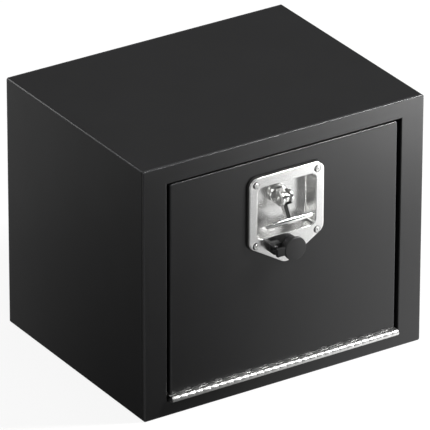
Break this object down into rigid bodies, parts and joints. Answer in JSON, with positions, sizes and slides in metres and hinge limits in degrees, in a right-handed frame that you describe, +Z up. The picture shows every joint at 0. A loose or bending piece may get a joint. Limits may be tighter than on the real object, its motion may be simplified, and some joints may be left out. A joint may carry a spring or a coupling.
{
  "type": "underbody tool box",
  "caption": "Steel tool box for the underside of a truck, with a drop-down door on a continuous hinge and a folding T-handle latch with a capped key lock.",
  "frame": {"origin": "middle of the cabinet's underside", "axes": "+X to the right seen from the front, +Y to the back, +Z up; the door faces -Y"},
  "size_m": [0.4572, 0.3833, 0.381],
  "materials": {
    "powder_coat": "satin black powder coat",
    "stainless": "bright rolled stainless",
    "polished_steel": "polished stainless",
    "zinc_plate": "zinc plated",
    "seal_rubber": "matt black rubber",
    "cap_plastic": "matt black moulding"
  },
  "bodies": {
    "cabinet": {"body_wrap": "powder_coat", "back_panel": "powder_coat", "front_frame": "powder_coat", "door_seal": "seal_rubber", "latch_keeper": "zinc_plate", "keeper_rivets": "stainless", "hinge_body_leaf": "stainless", "hinge_body_rivets": "stainless", "hinge_pin": "stainless"},
    "door": {"door_skin": "powder_coat", "door_liner": "powder_coat", "hinge_door_leaf": "stainless", "hinge_door_rivets": "stainless", "latch_gasket": "seal_rubber", "latch_plate": "stainless", "latch_screws": "stainless", "spindle_bush": "zinc_plate", "stop_studs": "zinc_plate", "lock_cylinder": "polished_steel", "lock_nut": "zinc_plate", "cap_base": "cap_plastic", "cap_pin": "zinc_plate"},
    "spindle": {"spindle": "polished_steel", "fold_pin": "polished_steel", "stop_plate": "zinc_plate", "spindle_spacer": "zinc_plate", "latch_cam": "zinc_plate", "cam_washer": "zinc_plate", "cam_nut": "zinc_plate"},
    "handle": {"handle_yoke": "polished_steel", "handle_bar": "polished_steel"},
    "weather_cap": {"lock_cap": "cap_plastic"},
    "key": {"key_plug": "polished_steel", "lock_pawl": "zinc_plate", "pawl_screw": "zinc_plate"}
  },
  "joints": [
    {"name": "door_hinge", "type": "hinge", "parent": "cabinet", "child": "door", "pos_m": [0, -0.18238, 0.02598], "axis": [1, 0, 0], "range_deg": [0, 90]},
    {"name": "handle_turn", "type": "hinge", "parent": "door", "child": "spindle", "pos_m": [0, -0.1778, 0.283], "axis": [0, -1, 0], "range_deg": [0, 90]},
    {"name": "handle_fold", "type": "hinge", "parent": "spindle", "child": "handle", "pos_m": [0, -0.1748, 0.283], "axis": [-1, 0, 0], "range_deg": [0, 90]},
    {"name": "cap_open", "type": "hinge", "parent": "door", "child": "weather_cap", "pos_m": [-0.0255, -0.1934, 0.2165], "axis": [0, 0, -1], "range_deg": [0, 100]},
    {"name": "key_turn", "type": "hinge", "parent": "door", "child": "key", "pos_m": [0, -0.1778, 0.2165], "axis": [0, 1, 0], "range_deg": [0, 90]}
  ]
}
